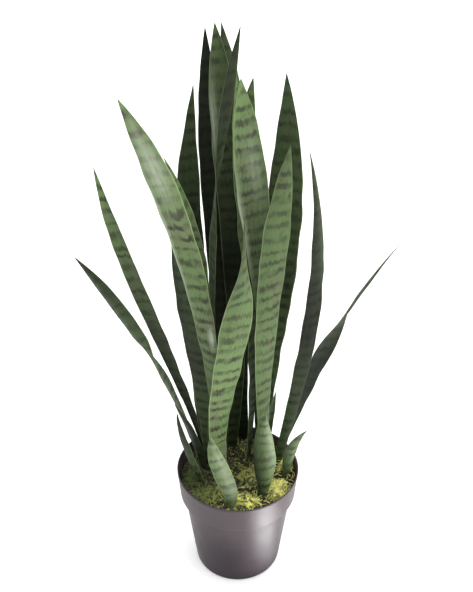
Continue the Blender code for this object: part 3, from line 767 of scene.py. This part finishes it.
def pot_profile(wall):
    """The pot's outline, from its lip to the middle of its foot and to the middle of its floor."""
    rim, top = POT_TOP.x, POT_TOP.z
    lip = wall / 4
    ledge = top - COLLAR_HEIGHT
    ring = BASE_RADIUS - FOOT_RING_WIDTH
    outside = [
        (rim, top - lip),
        (rim - RIM_BEAD_TAPER, top - RIM_BEAD),
        (rim - RIM_BEAD_STEP, top - RIM_BEAD - RIM_BEAD_STEP),
        (COLLAR_FOOT_RADIUS + COLLAR_EDGE_FLARE, ledge + COLLAR_EDGE_HEIGHT),
        (COLLAR_FOOT_RADIUS - COLLAR_EDGE_TUCK, ledge),
        (BODY_TOP_RADIUS + LEDGE_FILLET, ledge),
        (BODY_TOP_RADIUS, ledge - LEDGE_FILLET),
    ]
    for step in range(BASE_EDGE_STEPS + 1):
        angle = math.radians(90 * step / BASE_EDGE_STEPS)
        outside.append((BASE_RADIUS - BASE_EDGE_RADIUS * (1 - math.cos(angle)),
                        BASE_EDGE_RADIUS * (1 - math.sin(angle))))
    foot = [
        (ring, 0.0),
        (ring - FOOT_DRAFT, FOOT_RECESS),
        (FOOT_DISC_RADIUS + FOOT_DRAFT, FOOT_RECESS),
        (FOOT_DISC_RADIUS, 0.0),
        (CENTRE_MARK_RADIUS, 0.0),
    ]
    inside = [
        (rim - wall + lip, top),
        (rim - wall, top - lip),
        (COLLAR_FOOT_RADIUS - wall, ledge + wall),
        (BODY_TOP_RADIUS - wall, ledge + wall),
        (BASE_RADIUS - wall, FLOOR_THICKNESS + FLOOR_CORNER),
        (BASE_RADIUS - wall - FLOOR_CORNER, FLOOR_THICKNESS),
        (CENTRE_MARK_RADIUS, FLOOR_THICKNESS),
    ]
    return outside + foot, inside


def build_pot():
    """The pot: the ring of its lip extruded down its outside and across its foot, and down inside."""
    wall = bpy.context.scene.snake_plant_pot.wall
    outside, inside = pot_profile(wall)
    lip = (POT_TOP.x - wall / 4, POT_TOP.z)
    deselect()
    bpy.ops.mesh.primitive_circle_add(vertices=POT_SIDES, radius=lip[0], location=(0, 0, lip[1]))
    pot = bpy.context.object
    pot.name = "nursery_pot"
    bpy.ops.object.transform_apply(location=True)
    bpy.ops.object.mode_set(mode="EDIT")
    bpy.ops.mesh.select_all(action="SELECT")
    run_rings(outside, lip)
    bpy.ops.mesh.select_mode(type="EDGE")
    bpy.ops.mesh.select_all(action="DESELECT")
    bpy.ops.mesh.select_non_manifold()
    run_rings(inside, lip)
    bpy.ops.mesh.select_all(action="SELECT")
    bpy.ops.mesh.normals_make_consistent(inside=False)
    bpy.ops.object.mode_set(mode="OBJECT")
    drill_drain_holes(pot)
    edges = pot.modifiers.new("edges", "BEVEL")
    edges.width = POT_EDGE_ROUNDING
    edges.segments = 2
    edges.angle_limit = math.radians(35)
    apply_modifiers(pot)
    bpy.ops.object.shade_smooth_by_angle(angle=math.radians(40))
    return pot


def drill_drain_holes(pot):
    """Cuts a circle of holes halfway between the foot's ring and its middle disc."""
    circle_radius = (BASE_RADIUS - FOOT_RING_WIDTH + FOOT_DISC_RADIUS) / 2
    for index in range(DRAIN_HOLES):
        angle = math.tau * (index + 0.5) / DRAIN_HOLES
        deselect()
        bpy.ops.mesh.primitive_cylinder_add(
            vertices=DRAIN_HOLE_SIDES, radius=DRAIN_HOLE_RADIUS, depth=4 * FLOOR_THICKNESS,
            location=(circle_radius * math.cos(angle), circle_radius * math.sin(angle), 0.0))
        drill = bpy.context.object
        hole = pot.modifiers.new("drain_hole", "BOOLEAN")
        hole.object = drill
        hole.solver = "EXACT"
        apply_modifiers(pot)
        bpy.data.objects.remove(drill, do_unlink=True)


def crumb_shape():
    """One crumb of soil, to be copied."""
    deselect()
    bpy.ops.mesh.primitive_ico_sphere_add(subdivisions=2, radius=1.0)
    crumb = bpy.context.object
    for vertex in crumb.data.vertices:
        vertex.co *= 0.75 + 0.5 * noise.noise(vertex.co * 1.3)
    return crumb


def strew_crumbs(surface, radius):
    """Joins turned and stretched copies of one crumb to the soil's surface, some as flat chips."""
    settings = bpy.context.scene.snake_plant_soil
    crumb = crumb_shape()
    scatter = random.Random(CRUMB_SEED)
    copies = [surface]
    for _ in range(settings.crumbs):
        away = radius * CRUMB_REACH * math.sqrt(scatter.random())
        angle = scatter.uniform(0, math.tau)
        piece = crumb.copy()
        piece.data = crumb.data.copy()
        bpy.context.collection.objects.link(piece)
        size = scatter.uniform(*CRUMB_SIZES)
        stretch = CHIP_STRETCH if scatter.random() < CHIP_SHARE else GRAIN_STRETCH
        piece.scale = size * stretch
        piece.rotation_euler = (scatter.uniform(-CRUMB_TILT, CRUMB_TILT),
                                scatter.uniform(-CRUMB_TILT, CRUMB_TILT), scatter.uniform(0, 6))
        piece.location = (away * math.cos(angle), away * math.sin(angle),
                          SOIL_TOP.z + CRUMB_RISE + size * 0.4)
        copies.append(piece)
    bpy.data.objects.remove(crumb, do_unlink=True)
    deselect()
    for piece in copies:
        piece.select_set(True)
    bpy.context.view_layer.objects.active = surface
    bpy.ops.object.join()


def build_soil_surface():
    """The soil's lumpy top: a disc of rings, raised unevenly, with crumbs and bark chips on it."""
    radius = SOIL_TOP.x - SOIL_GAP
    level = SOIL_TOP.z
    edge = (radius, level - SOIL_SKIRT)
    deselect()
    bpy.ops.mesh.primitive_circle_add(vertices=SOIL_SIDES, radius=radius, location=(0, 0, edge[1]))
    surface = bpy.context.object
    surface.name = "soil_surface"
    bpy.ops.object.transform_apply(location=True)
    bpy.ops.object.mode_set(mode="EDIT")
    bpy.ops.mesh.select_all(action="SELECT")
    run_rings([(radius * (1 - step / SOIL_RINGS), level + SOIL_RISE) for step in range(SOIL_RINGS)],
              edge)
    bpy.ops.mesh.select_all(action="DESELECT")
    bpy.ops.mesh.select_non_manifold()
    bpy.ops.mesh.edge_face_add()
    bpy.ops.mesh.select_all(action="SELECT")
    bpy.ops.mesh.normals_make_consistent(inside=False)
    bpy.ops.object.mode_set(mode="OBJECT")
    for vertex in surface.data.vertices:
        if vertex.co.z > level:
            lump = noise.noise(vertex.co * 70) + 0.6 * noise.noise(vertex.co * 190)
            vertex.co.z += LUMP_BASE + LUMP_HEIGHT * lump
    strew_crumbs(surface, radius)
    settle(surface)
    bpy.ops.object.shade_smooth_by_angle(angle=math.radians(50))
    return surface


def add_strand(curve, start, heading, rise, length, dice, floor, wall_radius):
    """One strand: a short wandering line that stays above the soil and inside the pot."""
    spline = curve.splines.new("POLY")
    last = STRAND_POINTS - 1
    spline.points.add(last)
    at = start.copy()
    curl = dice.uniform(-STRAND_CURL, STRAND_CURL)
    for index in range(STRAND_POINTS):
        away = math.hypot(at.x, at.y)
        if away > wall_radius:
            at.x *= wall_radius / away
            at.y *= wall_radius / away
        at.z = max(at.z, floor)
        spline.points[index].co = (*at, 1.0)
        spline.points[index].radius = lerp(*STRAND_TAPER, index / last)
        step = length / last
        at += Vector((math.cos(heading), math.sin(heading), rise)).normalized() * step
        heading += curl + dice.uniform(-STRAND_CURL, STRAND_CURL)
        rise += dice.uniform(*STRAND_DROOP)


def strands_to_mesh(curve, name):
    obj = bpy.data.objects.new(name, curve)
    bpy.context.collection.objects.link(obj)
    pick(obj)
    bpy.ops.object.convert(target="MESH")
    return bpy.context.object


def new_strands(name):
    settings = bpy.context.scene.snake_plant_moss
    curve = bpy.data.curves.new(name, "CURVE")
    curve.dimensions = "3D"
    curve.bevel_depth = settings.strand_radius
    curve.bevel_resolution = 0
    curve.use_fill_caps = True
    return curve


def shape_mound(name, low, high):
    """The uneven mound that a tuft's strands stand on."""
    centre = (low + high) / 2
    half = (high - low) / 2
    deselect()
    bpy.ops.mesh.primitive_ico_sphere_add(subdivisions=4, radius=1.0)
    mound = bpy.context.object
    mound.name = name
    for vertex in mound.data.vertices:
        rough = 0.86 + 0.22 * noise.noise(vertex.co * 2.2 + centre * 300)
        rough += 0.10 * noise.noise(vertex.co * 7 + centre * 500)
        rise = max(vertex.co.z, -0.15) * (high.z - low.z) * 0.85 * rough
        vertex.co = Vector((centre.x + vertex.co.x * half.x * rough,
                            centre.y + vertex.co.y * half.y * rough, low.z + rise))
    return mound


def build_tuft(node):
    """A moss tuft: an uneven mound under a tangle of strands."""
    settings = bpy.context.scene.snake_plant_moss
    low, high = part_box(node)
    centre = (low + high) / 2
    half = (high - low) / 2
    dice = random.Random(node)
    mound = shape_mound("tuft" + node.removeprefix("moss"), low, high)
    curve = new_strands(node)
    for _ in range(int(settings.strands * math.pi * half.x * half.y / MM ** 2)):
        away = TUFT_REACH * dice.random() ** TUFT_CROWDING
        angle = dice.uniform(0, math.tau)
        dome = math.sqrt(max(0.0, 1 - min(away, 1.0) ** 2))
        start = Vector((centre.x + half.x * away * math.cos(angle),
                        centre.y + half.y * away * math.sin(angle),
                        low.z + 0.0005 + (high.z - low.z) * 0.82 * dome))
        length = settings.strand_length * dice.uniform(0.6, 1.3)
        add_strand(curve, start, dice.uniform(0, math.tau), dice.uniform(-0.1, 0.55), length, dice,
                   low.z + 0.0004, SOIL_TOP.x - MOSS_WALL_GAP)
    strands = strands_to_mesh(curve, node + "_strands")
    deselect()
    strands.select_set(True)
    mound.select_set(True)
    bpy.context.view_layer.objects.active = mound
    bpy.ops.object.join()
    settle(mound)
    bpy.ops.object.shade_smooth_by_angle(angle=math.radians(60))
    return mound


def build_wisps():
    """Stray strands of moss, strewn over the soil between the tufts."""
    settings = bpy.context.scene.snake_plant_moss
    dice = random.Random(WISP_SEED)
    curve = new_strands("wisps")
    level = SOIL_TOP.z + LUMP_HEIGHT
    wall_radius = SOIL_TOP.x - MOSS_WALL_GAP
    for _ in range(WISPS):
        away = wall_radius * math.sqrt(dice.random())
        angle = dice.uniform(0, math.tau)
        start = Vector((away * math.cos(angle), away * math.sin(angle),
                        level + dice.uniform(0, 0.002)))
        add_strand(curve, start, dice.uniform(0, math.tau), dice.uniform(-0.1, 0.35),
                   settings.strand_length * dice.uniform(0.5, 1.1), dice, level, wall_radius)
    wisps = strands_to_mesh(curve, "moss_wisps")
    settle(wisps)
    bpy.ops.object.shade_smooth_by_angle(angle=math.radians(60))
    return wisps


def lay_floor():
    """The pale floor, which glows more and more towards its far edge to meet the backdrop."""
    deselect()
    bpy.ops.mesh.primitive_plane_add(size=FLOOR_SIZE)
    floor = bpy.context.object
    floor.name = "floor"
    surface = Finish("pale_floor")
    surface.wear(FLOOR_COLOUR, 0.75)
    surface.glow(1.5, 6.0, 0.25, 1.0)
    floor.data.materials.append(surface.material)


def hang_backdrop(sky):
    """An even backdrop that the camera sees as white, and that lights the plant by the sky value."""
    world = bpy.data.worlds.new("studio")
    world.use_nodes = True
    nodes, links = world.node_tree.nodes, world.node_tree.links
    backdrop = nodes["Background"]
    backdrop.inputs["Color"].default_value = WHITE
    ray = nodes.new("ShaderNodeLightPath")
    strength = nodes.new("ShaderNodeMapRange")
    strength.inputs["To Min"].default_value = sky
    links.new(ray.outputs["Is Camera Ray"], strength.inputs["Value"])
    links.new(strength.outputs["Result"], backdrop.inputs["Strength"])
    bpy.context.scene.world = world


def add_light(name, power, size, place, target):
    light = bpy.data.lights.new(name, "AREA")
    light.energy = power
    light.size = size
    obj = bpy.data.objects.new(name, light)
    bpy.context.scene.collection.objects.link(obj)
    obj.location = place
    obj.rotation_euler = (Vector(target) - Vector(place)).to_track_quat("-Z", "Y").to_euler()


def lay_light_card(strength):
    """A round card on the floor that glows from its middle and lights the pot's side."""
    deselect()
    bpy.ops.mesh.primitive_circle_add(vertices=48, radius=CARD_RADIUS, fill_type="NGON",
                                      location=CARD_PLACE)
    card = bpy.context.object
    card.name = "light_card"
    shine = Finish("glowing_card")
    shine.wear(CARD_COLOUR, 0.8)
    shine.glow(0.01, 0.088, strength, 0.5)
    card.data.materials.append(shine.material)


class SNAKE_PLANT_OT_build_pot(bpy.types.Operator):
    """Build the nursery pot"""

    bl_idname = "snake_plant.build_pot"
    bl_label = "Build Pot"

    def execute(self, context):
        hand_over(build_pot(), moulded_plastic(), "pot_plastic", "pot")
        return {"FINISHED"}


class SNAKE_PLANT_OT_build_soil(bpy.types.Operator):
    """Finish the soil and strew its surface with crumbs"""

    bl_idname = "snake_plant.build_soil"
    bl_label = "Build Soil"

    def execute(self, context):
        material = potting_mix()
        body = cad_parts["soil"]
        body.data.materials.clear()
        body.data.materials.append(material)
        hand_over(build_soil_surface(), material, "potting_mix")
        return {"FINISHED"}


class SNAKE_PLANT_OT_build_moss(bpy.types.Operator):
    """Build the moss tufts and the stray wisps between them"""

    bl_idname = "snake_plant.build_moss"
    bl_label = "Build Moss"

    def execute(self, context):
        material = moss_fibre()
        for node in MOSS_TUFTS:
            hand_over(build_tuft(node), material, "moss", node)
        hand_over(build_wisps(), material, "moss")
        return {"FINISHED"}


class SNAKE_PLANT_OT_build_leaves(bpy.types.Operator):
    """Build all the leaves with their banded skin"""

    bl_idname = "snake_plant.build_leaves"
    bl_label = "Build Leaves"

    def execute(self, context):
        material = leaf_skin()
        for index, (name, leaf) in enumerate(LEAVES.items()):
            slot = "leaf_pale" if name in PALE_LEAVES else "leaf_deep"
            hand_over(build_blade(name, leaf, index), material, slot, name)
        return {"FINISHED"}


class SNAKE_PLANT_OT_build_stage(bpy.types.Operator):
    """Set up the floor, the lights and the camera"""

    bl_idname = "snake_plant.build_stage"
    bl_label = "Build Stage"

    def execute(self, context):
        settings = context.scene.snake_plant_stage
        lay_floor()
        hang_backdrop(settings.sky)
        add_light("key", settings.key_power, KEY_SIZE, KEY_PLACE, KEY_TARGET)
        add_light("top", settings.top_power, TOP_SIZE, TOP_PLACE, TOP_TARGET)
        lay_light_card(settings.glow)
        camera = bpy.data.objects.new("camera", bpy.data.cameras.new("camera"))
        context.scene.collection.objects.link(camera)
        camera.location = (CAMERA_X, -settings.camera_distance, settings.camera_height)
        camera.rotation_euler = (math.radians(90) - settings.camera_tilt, 0.0, 0.0)
        camera.data.lens = settings.lens
        context.scene.camera = camera
        context.scene.view_settings.view_transform = "Standard"
        return {"FINISHED"}


OPERATORS = (SNAKE_PLANT_OT_build_pot, SNAKE_PLANT_OT_build_soil, SNAKE_PLANT_OT_build_moss,
             SNAKE_PLANT_OT_build_leaves, SNAKE_PLANT_OT_build_stage)
SETTINGS = {"snake_plant_leaves": LeafSettings, "snake_plant_pot": PotSettings,
            "snake_plant_soil": SoilSettings, "snake_plant_moss": MossSettings,
            "snake_plant_stage": StageSettings}


class SNAKE_PLANT_PT_panel(bpy.types.Panel):
    bl_idname = "SNAKE_PLANT_PT_panel"
    bl_label = "Snake Plant"
    bl_space_type = "VIEW_3D"
    bl_region_type = "UI"
    bl_category = "Snake Plant"

    def draw(self, context):
        for operator in OPERATORS:
            self.layout.operator(operator.bl_idname)
        for name in SETTINGS:
            group = getattr(context.scene, name)
            box = self.layout.box()
            for key in group.bl_rna.properties.keys():
                if key not in {"rna_type", "name"}:
                    box.prop(group, key)


def register():
    for group in SETTINGS.values():
        bpy.utils.register_class(group)
    for name, group in SETTINGS.items():
        setattr(bpy.types.Scene, name, PointerProperty(type=group))
    for operator in OPERATORS:
        bpy.utils.register_class(operator)
    bpy.utils.register_class(SNAKE_PLANT_PT_panel)


def unregister():
    bpy.utils.unregister_class(SNAKE_PLANT_PT_panel)
    for operator in reversed(OPERATORS):
        bpy.utils.unregister_class(operator)
    for name in SETTINGS:
        delattr(bpy.types.Scene, name)
    for group in SETTINGS.values():
        bpy.utils.unregister_class(group)


def main():
    register()
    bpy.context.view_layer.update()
    bpy.ops.snake_plant.build_pot()
    bpy.ops.snake_plant.build_soil()
    bpy.ops.snake_plant.build_moss()
    bpy.ops.snake_plant.build_leaves()
    bpy.ops.snake_plant.build_stage()


if __name__ == "__main__":
    main()
